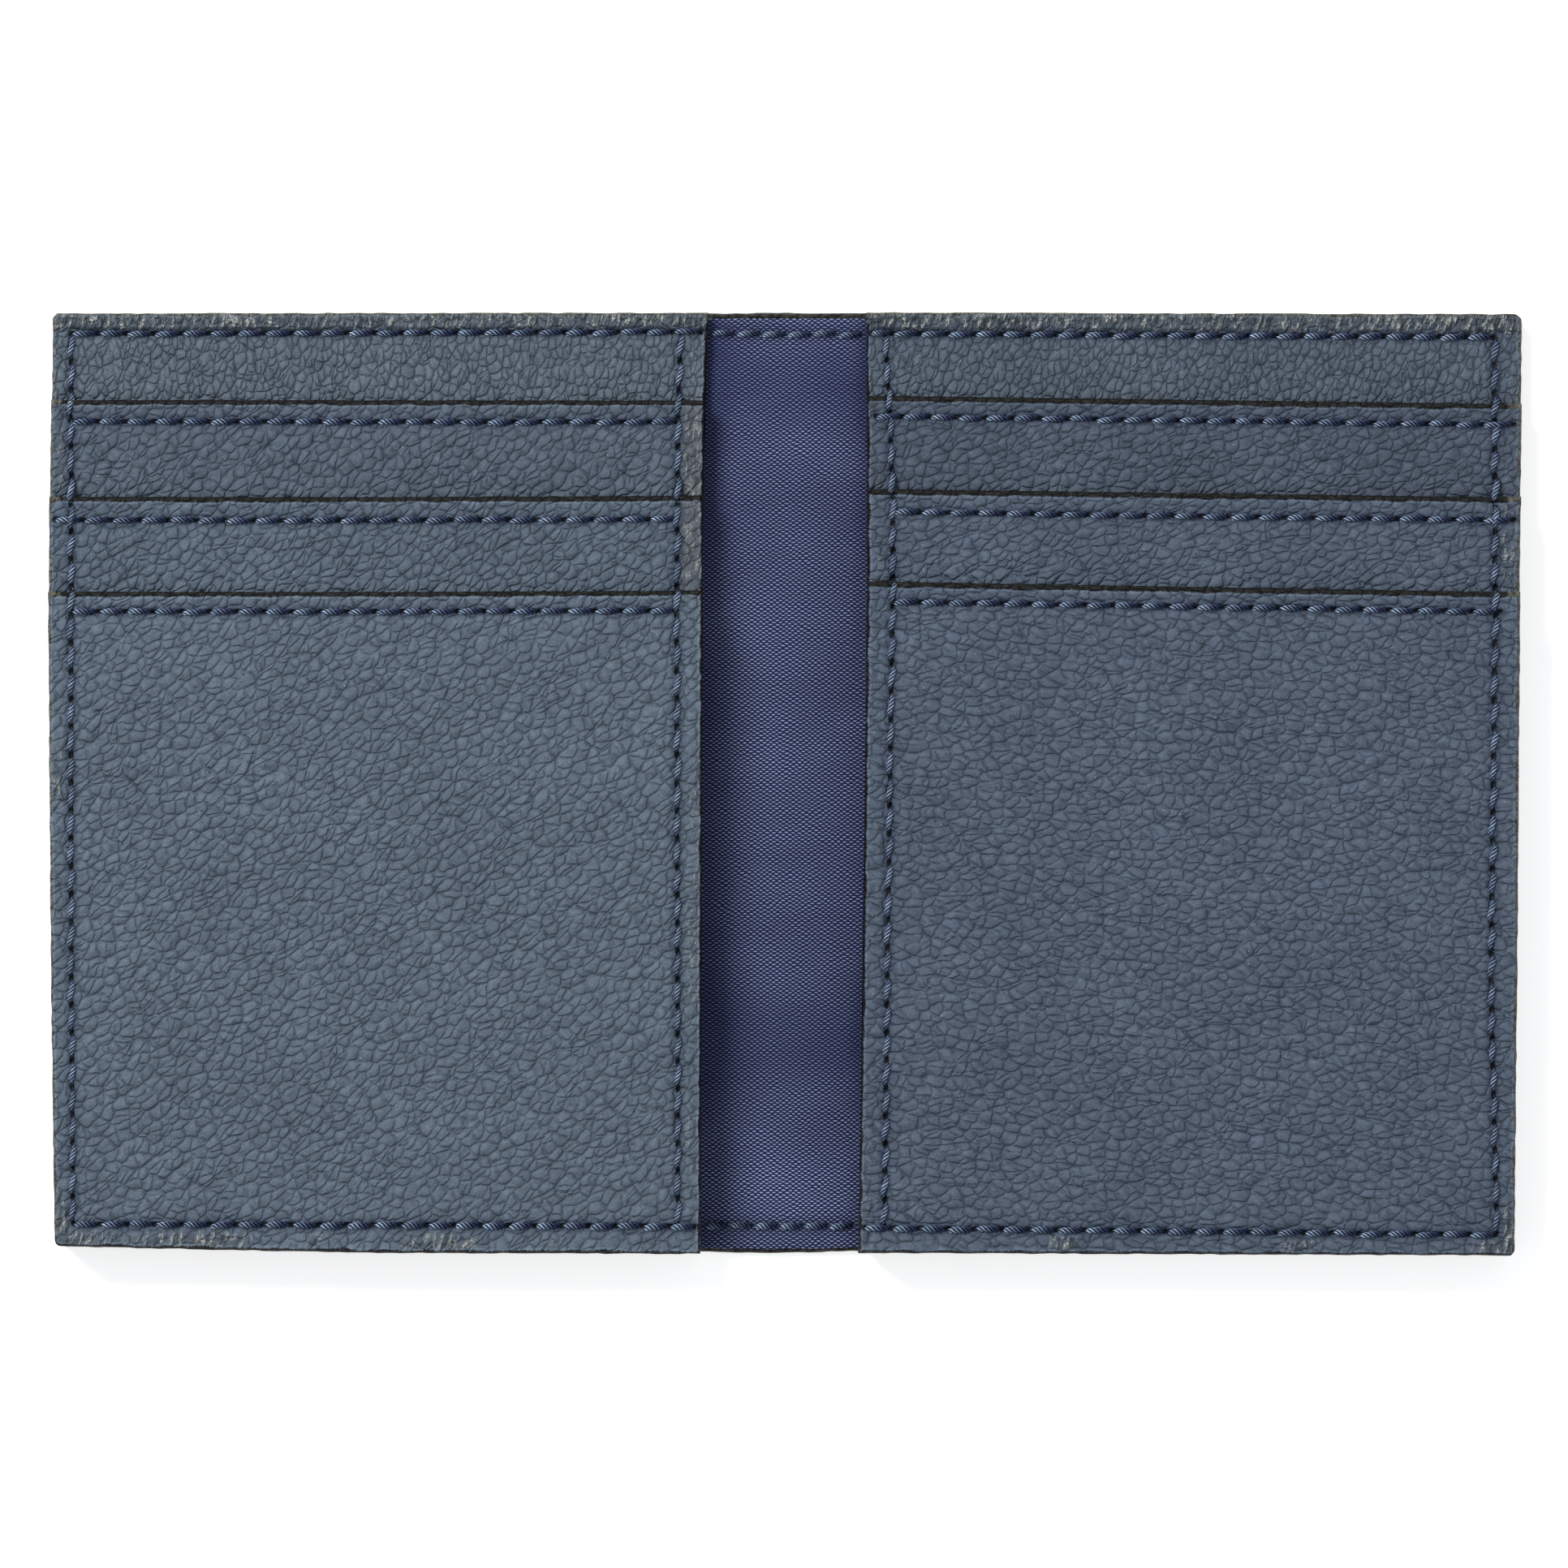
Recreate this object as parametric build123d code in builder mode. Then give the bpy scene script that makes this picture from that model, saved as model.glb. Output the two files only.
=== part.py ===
"""Bifold card holder, lying open with its pockets up.

Each half is a flat stack of sheets: outer cover, stiffening board, cover lining, panel backing, a leather
top strip, and three card pockets. Each pocket is a fabric lining with a leather facing in front of it.
The two halves are joined by a soft spine of cover leather and lining, which folds along two lines.

Frame: +X across the open wallet, +Y towards the pocket mouths, +Z up. The origin is the middle of the
underside. All sizes are in millimetres.
"""

import os

from build123d import *

# The open wallet.
OPEN_WIDTH = 156.0
HEIGHT = 100.0
CORNER_RADIUS = 1.0
SPINE_CHANNEL = 17.3  # width of bare lining between the two pocket panels

# Sheet thicknesses.
COVER = 1.0
BOARD = 0.4
LINING = 0.2
POCKET_LINING = 0.15
FACING = 0.6

# Free space for contents.
SLIP_GAP = 0.3  # banknotes or a receipt behind the panel
CARD_GAP = 0.8  # one 0.76 mm card in each slot
HEM = 3.0  # width of the sewn-down margin round each pocket

# Pocket layout, measured down from the top edge.
FIRST_MOUTH_DROP = 9.3
MOUTH_STEP = 10.15
STRIP_HEIGHT = 22.0  # the top strip and the first two facings are strips, tucked behind the next pocket
FLOOR_HEIGHTS = (12.0, 7.5, HEM)  # pocket floors above the bottom edge, so that the cards step up

# Stitching.
PITCH = 3.0
STITCH_LENGTH = 2.4
STITCH_WIDTH = 0.55
STITCH_HEIGHT = 0.3
STITCH_POINT = 0.4  # length of a stitch's tapered end
STITCH_SLANT = 6.0
EDGE_SEAM_INSET = 2.2
INNER_SEAM_INSET = 2.5
TOPSTITCH_DROP = 2.25
SEAM_END = 0.3  # a row of stitches starts this far from the edge or seam that it runs to
GROOVE_WIDTH = 0.9
GROOVE_DEPTH = 0.35

# The fold.
FOLD_CLEARANCE = 0.1  # space between two bodies' sheets at a fold line
CLOSED_GAP = 0.4  # space left between the two halves' stitches when closed
BOARD_SETBACK = 0.75  # the board stops this far behind the panel's inner edge
LINING_RAMP = 0.6

# Derived sizes.
HALF_WIDTH = OPEN_WIDTH / 2
HALF_HEIGHT = HEIGHT / 2
PANEL_INNER_X = SPINE_CHANNEL / 2
PANEL_WIDTH = HALF_WIDTH - PANEL_INNER_X
PANEL_CENTRE_X = PANEL_INNER_X + PANEL_WIDTH / 2
POCKET_STEP = CARD_GAP + POCKET_LINING + FACING  # each pocket stands this far above the one behind it
LINING_TOP = COVER + BOARD + LINING
SPINE_TOP = COVER + LINING
BACKING_BOTTOM = LINING_TOP + SLIP_GAP
STRIP_BOTTOM = BACKING_BOTTOM + POCKET_LINING
STRIP_TOP = STRIP_BOTTOM + FACING
STACK_TOP = STRIP_TOP + 3 * POCKET_STEP
FOLD_X = STACK_TOP + STITCH_HEIGHT - SPINE_TOP + CLOSED_GAP / 2
MOUTHS = [HALF_HEIGHT - FIRST_MOUTH_DROP - n * MOUTH_STEP for n in range(3)]
FLOORS = [-HALF_HEIGHT + height for height in FLOOR_HEIGHTS]
SEAM_Y = HALF_HEIGHT - EDGE_SEAM_INSET
SEAM_X = HALF_WIDTH - EDGE_SEAM_INSET
INNER_SEAM_X = PANEL_INNER_X + INNER_SEAM_INSET

SIDES = {"left": -1, "right": 1}


def facing_top(pocket):
    """Height of a pocket's outer face. Pocket 0 is the top strip and pocket 3 the front pocket."""
    return STRIP_TOP + pocket * POCKET_STEP


def rounded_outline(sign, near_x, far_x, low_y, high_y):
    """A rectangle on one half, rounded where it reaches the wallet's own corners."""
    with BuildSketch() as outline:
        with Locations((sign * (near_x + far_x) / 2, (low_y + high_y) / 2)):
            Rectangle(far_x - near_x, high_y - low_y)
        corners = outline.vertices().filter_by(
            lambda v: abs(abs(v.X) - HALF_WIDTH) < 0.01 and abs(abs(v.Y) - HALF_HEIGHT) < 0.01
        )
        if corners:
            fillet(corners, CORNER_RADIUS)
    return outline.sketch


def flat_sheet(sign, near_x, low_y, high_y, bottom, thickness):
    """A flat sheet that runs out to the half's outer edge."""
    with BuildPart() as sheet:
        with BuildSketch(Plane.XY.offset(bottom)):
            add(rounded_outline(sign, near_x, HALF_WIDTH, low_y, high_y))
        extrude(amount=thickness)
    return sheet.part


def hem_bar(sign, inner_x, outer_x, low_y, high_y, steps):
    """One sewn-down margin bar, clipped to the panel's rounded outline.

    Each step is (from y, to y, bottom, top): the bar is thinner where a leather strip lies under it.
    """
    with BuildPart() as bar:
        for step_low, step_high, bottom, top in steps:
            with BuildSketch(Plane.XY.offset(bottom)):
                add(rounded_outline(sign, PANEL_INNER_X, HALF_WIDTH, -HALF_HEIGHT, high_y))
                with Locations((sign * (inner_x + outer_x) / 2, (step_low + step_high) / 2)):
                    Rectangle(outer_x - inner_x, step_high - step_low, mode=Mode.INTERSECT)
            extrude(amount=top - bottom)
    return bar.part


def outer_cover(sign):
    """Cover leather of one half, with the groove that the edge seam lies in on the underside."""
    with BuildPart() as cover:
        with BuildSketch():
            add(rounded_outline(sign, FOLD_X + FOLD_CLEARANCE / 2, HALF_WIDTH, -HALF_HEIGHT, HALF_HEIGHT))
        extrude(amount=COVER)
        with BuildSketch():
            Rectangle(2 * SEAM_X + GROOVE_WIDTH, 2 * SEAM_Y + GROOVE_WIDTH)
            Rectangle(2 * SEAM_X - GROOVE_WIDTH, 2 * SEAM_Y - GROOVE_WIDTH, mode=Mode.SUBTRACT)
        extrude(amount=GROOVE_DEPTH, mode=Mode.SUBTRACT)
    return cover.part


def cover_lining(sign):
    """Lining of one half. It runs down off the board's end to lie on the cover beside the fold."""
    fold_end = FOLD_X + FOLD_CLEARANCE / 2
    board_end = PANEL_INNER_X + BOARD_SETBACK
    with BuildPart() as lining:
        with BuildSketch(Plane.XZ.offset(-HALF_HEIGHT)):
            with BuildLine():
                Polyline(
                    (sign * fold_end, COVER),
                    (sign * (board_end - LINING_RAMP), COVER),
                    (sign * board_end, COVER + BOARD),
                    (sign * HALF_WIDTH, COVER + BOARD),
                    (sign * HALF_WIDTH, LINING_TOP),
                    (sign * board_end, LINING_TOP),
                    (sign * (board_end - LINING_RAMP), SPINE_TOP),
                    (sign * fold_end, SPINE_TOP),
                    close=True,
                )
            make_face()
        extrude(amount=HEIGHT)
        outer_edges = lining.edges().filter_by(Axis.Z).group_by(lambda e: abs(e.center().X))[-1]
        fillet(outer_edges, CORNER_RADIUS)
    return lining.part


def panel_backing(sign):
    """Fabric back of a pocket panel, hemmed on three sides, with the slip pocket open towards the spine."""
    sheet = flat_sheet(sign, PANEL_INNER_X, -HALF_HEIGHT, HALF_HEIGHT, BACKING_BOTTOM, POCKET_LINING)
    inner = HALF_HEIGHT - HEM
    outer_bar = hem_bar(
        sign,
        HALF_WIDTH - HEM,
        HALF_WIDTH,
        -HALF_HEIGHT,
        HALF_HEIGHT,
        [(-HALF_HEIGHT, HALF_HEIGHT, LINING_TOP, BACKING_BOTTOM)],
    )
    cross_bars = [
        hem_bar(
            sign,
            PANEL_INNER_X + BOARD_SETBACK,
            HALF_WIDTH - HEM,
            low_y,
            HALF_HEIGHT,
            [(low_y, low_y + HEM, LINING_TOP, BACKING_BOTTOM)],
        )
        for low_y in (-HALF_HEIGHT, inner)
    ]
    return Compound(children=[sheet, outer_bar, *cross_bars])


def slot_lining(sign, slot):
    """Fabric lining of one card slot: its front sheet, and the sewn-down margins that close three sides."""
    mouth = MOUTHS[slot]
    below = facing_top(slot) - FACING  # the face of the lining behind this slot
    sheet_bottom = facing_top(slot) + CARD_GAP
    strip_low = (HALF_HEIGHT if slot == 0 else MOUTHS[slot - 1]) - STRIP_HEIGHT
    sheet = flat_sheet(sign, PANEL_INNER_X, -HALF_HEIGHT, mouth, sheet_bottom, POCKET_LINING)
    steps = [
        (FLOORS[slot], strip_low, below, sheet_bottom),
        (strip_low, mouth, below + FACING, sheet_bottom),
    ]
    side_bars = [
        hem_bar(sign, inner_x, inner_x + HEM, FLOORS[slot], mouth, steps)
        for inner_x in (PANEL_INNER_X, HALF_WIDTH - HEM)
    ]
    floor_bar = hem_bar(
        sign,
        PANEL_INNER_X,
        HALF_WIDTH,
        -HALF_HEIGHT,
        mouth,
        [(-HALF_HEIGHT, FLOORS[slot], below, sheet_bottom)],
    )
    return Compound(children=[sheet, *side_bars, floor_bar])


def stitches(rows):
    """Rows of separate stitches. Each row is (start, end, bottom), with start and end as (x, y)."""
    with BuildPart() as seam:
        for start, end, bottom in rows:
            run = Vector(*end) - Vector(*start)
            count = int(run.length / PITCH + 0.5)
            middle = (Vector(*start) + Vector(*end)) / 2
            with BuildSketch(Plane(origin=(middle.X, middle.Y, bottom), x_dir=run.normalized())):
                with GridLocations(run.length / count, 1, count, 1):
                    Polygon(
                        (-STITCH_LENGTH / 2, 0),
                        (STITCH_POINT - STITCH_LENGTH / 2, -STITCH_WIDTH / 2),
                        (STITCH_LENGTH / 2 - STITCH_POINT, -STITCH_WIDTH / 2),
                        (STITCH_LENGTH / 2, 0),
                        (STITCH_LENGTH / 2 - STITCH_POINT, STITCH_WIDTH / 2),
                        (STITCH_POINT - STITCH_LENGTH / 2, STITCH_WIDTH / 2),
                        rotation=STITCH_SLANT,
                    )
            extrude(amount=STITCH_HEIGHT)
    return seam.part


def upright_rows(x, low_y, high_y):
    """Rows of a seam that runs up the panel at x, one on the face of each pocket that it crosses."""
    steps = [low_y, *reversed(MOUTHS), high_y]
    return [
        ((x, below + SEAM_END), (x, above - SEAM_END), facing_top(3 - n))
        for n, (below, above) in enumerate(zip(steps, steps[1:]))
    ]


def edge_seam(sign):
    """Edge seam of one half: the stitches that show inside, and those in the cover's groove."""
    far_x = sign * (SEAM_X - SEAM_END)
    near_x = sign * (PANEL_INNER_X + SEAM_END)
    fold_x = sign * (FOLD_X + FOLD_CLEARANCE / 2)
    groove_bottom = GROOVE_DEPTH - STITCH_HEIGHT
    rows = upright_rows(sign * SEAM_X, -SEAM_Y, SEAM_Y)
    rows.append(((far_x, SEAM_Y), (near_x, SEAM_Y), facing_top(0)))
    rows.append(((far_x, -SEAM_Y), (near_x, -SEAM_Y), facing_top(3)))
    rows.append(((sign * SEAM_X, SEAM_END - SEAM_Y), (sign * SEAM_X, SEAM_Y - SEAM_END), groove_bottom))
    for y in (-SEAM_Y, SEAM_Y):
        rows.append(((far_x, y), (fold_x, y), groove_bottom))
    return stitches(rows)


def spine_cover():
    """Cover leather between the two fold lines, with its share of the edge seam's groove."""
    with BuildPart() as cover:
        with BuildSketch():
            Rectangle(2 * FOLD_X - FOLD_CLEARANCE, HEIGHT)
        extrude(amount=COVER)
        with BuildSketch():
            with Locations((0, -SEAM_Y), (0, SEAM_Y)):
                Rectangle(2 * FOLD_X, GROOVE_WIDTH)
        extrude(amount=GROOVE_DEPTH, mode=Mode.SUBTRACT)
    return cover.part


def spine_lining():
    """Lining between the two fold lines."""
    with BuildPart() as lining:
        with BuildSketch(Plane.XY.offset(COVER)):
            Rectangle(2 * FOLD_X - FOLD_CLEARANCE, HEIGHT)
        extrude(amount=LINING)
    return lining.part


def spine_seam():
    """The edge seam's stitches across the spine, inside and out."""
    reach = FOLD_X - FOLD_CLEARANCE / 2
    return stitches(
        [
            ((-reach, y), (reach, y), bottom)
            for y in (-SEAM_Y, SEAM_Y)
            for bottom in (SPINE_TOP, GROOVE_DEPTH - STITCH_HEIGHT)
        ]
    )


def half_pieces(sign):
    """Every piece of one half, by name."""
    pieces = {
        "outer_cover": outer_cover(sign),
        "cover_board": flat_sheet(
            sign, PANEL_INNER_X + BOARD_SETBACK, -HALF_HEIGHT, HALF_HEIGHT, COVER, BOARD
        ),
        "cover_lining": cover_lining(sign),
        "panel_backing": panel_backing(sign),
        "top_strip": flat_sheet(
            sign, PANEL_INNER_X, HALF_HEIGHT - STRIP_HEIGHT, HALF_HEIGHT, STRIP_BOTTOM, FACING
        ),
        "edge_seam": edge_seam(sign),
        "inner_seam": stitches(upright_rows(sign * INNER_SEAM_X, -SEAM_Y, SEAM_Y)),
    }
    for slot, mouth in enumerate(MOUTHS):
        front = slot == len(MOUTHS) - 1
        low_y = -HALF_HEIGHT if front else mouth - STRIP_HEIGHT
        top = facing_top(slot + 1)
        pieces[f"slot_{slot + 1}_lining"] = slot_lining(sign, slot)
        facing_name = "front_pocket" if front else f"slot_{slot + 1}_facing"
        pieces[facing_name] = flat_sheet(sign, PANEL_INNER_X, low_y, mouth, top - FACING, FACING)
        stitch_y = mouth - TOPSTITCH_DROP
        ends = (sign * (SEAM_X - PITCH / 4), stitch_y), (sign * (INNER_SEAM_X + PITCH / 4), stitch_y)
        pieces[f"slot_{slot + 1}_topstitch"] = stitches([(*ends, top)])
    return pieces


os.makedirs("parts", exist_ok=True)

nodes = {
    "spine_outer_cover": spine_cover(),
    "spine_lining": spine_lining(),
    "spine_edge_seam": spine_seam(),
}
for side, sign in SIDES.items():
    for piece_name, piece in half_pieces(sign).items():
        nodes[f"{side}_{piece_name}"] = piece

for node_name, part in nodes.items():
    part.label = node_name
    export_step(part, f"parts/{node_name}.step")

print("fold lines at x =", round(FOLD_X, 3), "stack top z =", round(STACK_TOP, 3), "fold z =", SPINE_TOP)
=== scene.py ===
import math
from collections import namedtuple

import bpy
import numpy as np
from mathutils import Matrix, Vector


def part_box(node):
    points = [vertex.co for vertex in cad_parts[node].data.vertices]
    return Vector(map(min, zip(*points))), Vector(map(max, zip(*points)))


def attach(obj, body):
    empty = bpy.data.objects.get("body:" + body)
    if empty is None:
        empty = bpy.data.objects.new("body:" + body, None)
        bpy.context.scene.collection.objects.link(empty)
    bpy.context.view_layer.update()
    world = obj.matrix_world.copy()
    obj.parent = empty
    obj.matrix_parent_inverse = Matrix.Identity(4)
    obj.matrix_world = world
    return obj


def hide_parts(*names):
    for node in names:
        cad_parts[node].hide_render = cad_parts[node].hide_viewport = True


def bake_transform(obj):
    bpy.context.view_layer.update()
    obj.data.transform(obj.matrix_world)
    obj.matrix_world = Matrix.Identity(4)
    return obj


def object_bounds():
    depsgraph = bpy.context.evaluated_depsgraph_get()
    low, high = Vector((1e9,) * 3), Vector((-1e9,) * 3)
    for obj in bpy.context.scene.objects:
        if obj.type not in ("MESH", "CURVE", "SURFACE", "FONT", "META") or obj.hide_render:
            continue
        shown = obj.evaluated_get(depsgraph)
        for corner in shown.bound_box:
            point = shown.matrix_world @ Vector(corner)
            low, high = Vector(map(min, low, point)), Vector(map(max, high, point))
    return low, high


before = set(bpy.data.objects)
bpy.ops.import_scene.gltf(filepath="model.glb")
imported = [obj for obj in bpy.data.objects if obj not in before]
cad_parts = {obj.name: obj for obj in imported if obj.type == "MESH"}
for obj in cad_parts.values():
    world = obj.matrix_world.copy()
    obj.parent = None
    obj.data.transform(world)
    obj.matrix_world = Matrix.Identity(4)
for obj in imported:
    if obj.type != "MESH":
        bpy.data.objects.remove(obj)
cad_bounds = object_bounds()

# A bifold card holder, lying open. Shapes are worked out in millimetres and scaled when a mesh is made.
# "Ideal" places are those of the CAD model, in which every edge and seam is straight. lay() then gives each
# point its place on the hand-made object, whose edges bow and whose right-hand pockets slope a little.
MM = 0.001
SIDES = {"left": -1, "right": 1}


def box_mm(node):
    """Lowest and highest corners of a CAD node, in millimetres."""
    low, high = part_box(node)
    return np.array(low) / MM, np.array(high) / MM


# Places read from the CAD model. The right half stands for both: u is the distance from the fold's middle.
HALF_WIDTH, HALF_HEIGHT = [float(c) / MM for c in cad_bounds[1][:2]]
PANEL_NEAR = box_mm("right_front_pocket")[0][0]
FACINGS = ("top_strip", "slot_1_facing", "slot_2_facing", "front_pocket")
LININGS = ("slot_1_lining", "slot_2_lining", "slot_3_lining")
INNER_SEAM_BOX = box_mm("right_inner_seam")
STITCH_REACH = (INNER_SEAM_BOX[1][0] - INNER_SEAM_BOX[0][0]) / 2
INNER_U = (INNER_SEAM_BOX[1][0] + INNER_SEAM_BOX[0][0]) / 2
SEAM_U, SEAM_V = box_mm("right_edge_seam")[1][:2] - STITCH_REACH
COVER_TOP = box_mm("right_outer_cover")[1][2]
BOARD_LOW, BOARD_HIGH = box_mm("right_cover_board")
LINING_THICKNESS = box_mm("spine_lining")[1][2] - COVER_TOP

# How the hand-made object departs from the ideal one: shifts in x and y at a few places across it.
LAY_X = (-HALF_WIDTH, -SEAM_U, -45.0, -INNER_U, -PANEL_NEAR, 0.0, PANEL_NEAR, INNER_U, SEAM_U, HALF_WIDTH)
LAY_Y = (-HALF_HEIGHT, -SEAM_V, -20.0, 20.0, 30.0, 40.0, SEAM_V, HALF_HEIGHT)
SHIFT_X = (
    (0.06, 0.04, -0.33, -0.63, -0.61, -0.46, -0.38, -0.35),
    (-0.2, -0.2, -0.38, -0.4, -0.48, -0.65, -0.65, -0.6),
    (0.0, 0.0, -0.15, -0.3, -0.25, -0.15, 0.0, 0.0),
    (-0.35, -0.35, -0.38, -0.52, -0.4, -0.4, -0.05, -0.02),
    (-0.52, -0.5, -0.38, -0.26, -0.2, -0.06, 0.2, 0.28),
    (-0.7, -0.68, -0.38, -0.1, -0.06, 0.0, 0.13, 0.16),
    (-0.88, -0.85, -0.38, 0.05, 0.08, 0.06, 0.06, 0.04),
    (-0.65, -0.62, -0.33, 0.28, 0.3, -0.1, -0.55, -0.55),
    (0.1, 0.0, -0.65, -0.15, -0.1, -0.05, 0.0, 0.0),
    (-0.37, -0.35, -0.06, 0.25, 0.43, 0.59, 0.66, 0.66),
)
SHIFT_Y = (
    (0.74, 1.0, 0.2, 0.08, 0.1, 0.3, 0.38, 0.3),
    (0.72, 0.9, 0.2, 0.05, 0.05, 0.28, 0.38, 0.3),
    (0.05, 0.85, 0.2, 0.02, 0.0, 0.25, 0.45, 0.34),
    (-0.05, 0.7, 0.1, 0.15, 0.15, 0.2, 0.58, 0.36),
    (-0.05, 0.6, 0.1, 0.2, 0.2, 0.2, 0.5, 0.36),
    (-0.2, 0.55, 0.2, 0.5, 0.5, 0.4, 0.36, 0.4),
    (0.05, 0.55, 0.4, 1.15, 0.9, 0.78, 0.38, 0.4),
    (0.03, 0.5, 0.4, 1.12, 0.87, 0.76, 0.36, 0.4),
    (-0.22, -0.25, -0.1, 0.05, 0.05, -0.12, -0.02, 0.22),
    (-0.25, -0.3, -0.1, 0.05, 0.1, -0.05, 0.0, 0.22),
)
CORNER = 0.6  # corner radius of the whole wallet

LINING_INSETS = (0.3, 0.6)  # the lining is cut this far short of the cover's bottom and top edges
EDGE_RADIUS = 0.3  # leather's cut edges are rounded over by this much
THREAD_RADIUS = 0.33
OUTER_PAINT = 0.22  # edge paint reaches this much less far over the face at outer edges than at mouths
MOUTH_PAINT = {"left": 0.05, "right": 0.14}  # and this much further at the pocket mouths
STITCH_SLANT = 0.2  # each stitch runs up to the right by twice this
STITCH_JITTER = 0.055  # how unevenly the holes lie about their row
UPRIGHT_THREAD = 0.84  # thread of the upright rows is drawn tighter, and is this much thinner
THREAD_TURNS = 2.1  # turns of the three plies along one stitch
THREAD_SAMPLES, PLY_SIDES = 23, 8  # points along a stitch and round a ply
FAR_OFF = 9.0  # seam data for a place with no stitch near it
HOLE_ACROSS, HOLE_ALONG = 1.55, 0.8  # the dent at a hole is drawn out along its row

# How the cloth, the board and the grids of points are laid out.
CLEAR = 0.02  # an underside stays this far off what it lies on
INSET = 0.12  # cloth and board stop this far inside the leather's edges
CLOTH = 0.15  # thickness of a pocket lining's sheet
HEM = 3.0  # width of a folded hem
BACKING_STEP = 0.7  # the backing's level hems stop this far short of the panel's inner edge
POCKET_FLOORS = (12.0, 7.5, 3.0)  # each pocket is sewn shut up to this height above the foot
LINING_RAMP = 0.6  # the lining climbs from the cover to the board over this distance
SHOWN = 12.5  # the upper part of a strip, which shows; the rest is tucked behind the next one
FACING_GRID, TUCKED_GRID, COVER_GRID = 0.26, 2.0, 0.34
LINING_GRID, HIDDEN_LINING_GRID, BLOCK_GRID = (0.2, 0.3), 3.0, (6.0, 4.0)

# A row of stitches on one half. An upright row runs along v at u = at, and a level one along u at v = at.
Row = namedtuple("Row", "upright at start end count")
DEEPEST = 0.48  # no stitch pulls a facing's face down by more than this
BREAK = 0.45  # the edge seam dives this far from the foot of the panel's inner edge, and comes up again
OUTER_ROW = Row(True, SEAM_U, -SEAM_V, SEAM_V, 32)
INNER_ROW = Row(True, INNER_U, -SEAM_V, SEAM_V, 32)
PANEL_ROWS = [Row(False, v, PANEL_NEAR + BREAK, SEAM_U, 23) for v in (-SEAM_V, SEAM_V)]
SPINE_ROWS = [Row(False, v, 0, PANEL_NEAR - BREAK, 3) for v in (-SEAM_V, SEAM_V)]
TOPSTITCH_PITCH = 2.97
TOPSTITCH_DRIFT = (0.05, -0.18, 0.2)  # each mouth's row was sewn a little off its ideal place
TOPSTITCH_TAILS = {  # how far each row runs on past the inner and the outer seam
    "left": ((0.0, 0.0), (0.0, 1.7), (0.0, 0.0)),
    "right": ((1.6, 1.7), (0.0, 1.7), (0.0, 0.5)),
}


def topstitch_row(side, n):
    v = sum(corner[1] for corner in box_mm(f"{side}_slot_{n + 1}_topstitch")) / 2 + TOPSTITCH_DRIFT[n]
    tails = TOPSTITCH_TAILS[side][n]
    start, end = INNER_U - tails[0], SEAM_U + tails[1]
    return Row(False, v, start, end, round((end - start) / TOPSTITCH_PITCH))


TOPSTITCH_ROWS = {side: [topstitch_row(side, n) for n in range(3)] for side in SIDES}
UNDER_ROWS = [Row(True, SEAM_U, -SEAM_V, SEAM_V, 34)]
UNDER_ROWS += [Row(False, v, 0, SEAM_U, 27) for v in (-SEAM_V, SEAM_V)]
FACING_ROWS = {side: [OUTER_ROW, INNER_ROW, *PANEL_ROWS, *TOPSTITCH_ROWS[side]] for side in SIDES}


# ---------------------------------------------------------------- numbers


def noise(x, y, seed):
    """Smooth random field from -1 to 1, with about one feature per unit of x and y."""
    x0, y0 = np.floor(x).astype(np.int64), np.floor(y).astype(np.int64)
    fx, fy = x - x0, y - y0
    fx, fy = fx * fx * (3 - 2 * fx), fy * fy * (3 - 2 * fy)

    def corner(ix, iy):
        h = (ix * 374761393 + iy * 668265263 + seed * 974634777) & 0xFFFFFFFF
        h = ((h ^ (h >> 13)) * 1274126177) & 0xFFFFFFFF
        return ((h ^ (h >> 16)) & 0xFFFF) / 32767.5 - 1

    low = corner(x0, y0) * (1 - fx) + corner(x0 + 1, y0) * fx
    high = corner(x0, y0 + 1) * (1 - fx) + corner(x0 + 1, y0 + 1) * fx
    return low * (1 - fy) + high * fy


def creases(x, y, seed, angle, length, width):
    """1 along the bottom of long creases that run at an angle to x, falling to 0 beside them."""
    sharpness = 0.3
    cos, sin = math.cos(math.radians(angle)), math.sin(math.radians(angle))
    a, b = (x * cos + y * sin) / length, (y * cos - x * sin) / width
    bend = 0.7 * noise(a * 0.9 + 17, b * 0.45, seed + 101)
    return np.clip(1 - np.abs(noise(a + bend * 0.5, b + bend, seed)) / sharpness, 0, 1) ** 1.4


def bump(distance, width):
    return np.exp(-((distance / width) ** 2))


def spread(table, x, y):
    """The shift at a place, from a table with a row for each of LAY_X and a column for each of LAY_Y."""
    columns = [np.interp(y, LAY_Y, row) for row in table]
    out = columns[0].copy()
    for n in range(len(LAY_X) - 1):
        t = np.clip((x - LAY_X[n]) / (LAY_X[n + 1] - LAY_X[n]), 0, 1)
        out = out * (1 - t) + columns[n + 1] * t
    return out


def lay(x, y):
    """The hand-made object's place for an ideal one."""
    cx = np.maximum(np.abs(x) - HALF_WIDTH + CORNER, 0) / CORNER
    cy = np.maximum(np.abs(y) - HALF_HEIGHT + CORNER, 0) / CORNER
    ax = cx * np.sqrt(np.maximum(1 - cy**2 / 2, 0))
    ay = cy * np.sqrt(np.maximum(1 - cx**2 / 2, 0))
    x = np.where(cx > 0, np.sign(x) * (HALF_WIDTH - CORNER + CORNER * ax), x)
    y = np.where(cy > 0, np.sign(y) * (HALF_HEIGHT - CORNER + CORNER * ay), y)
    return x + spread(SHIFT_X, x, y), y + spread(SHIFT_Y, x, y)


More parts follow.
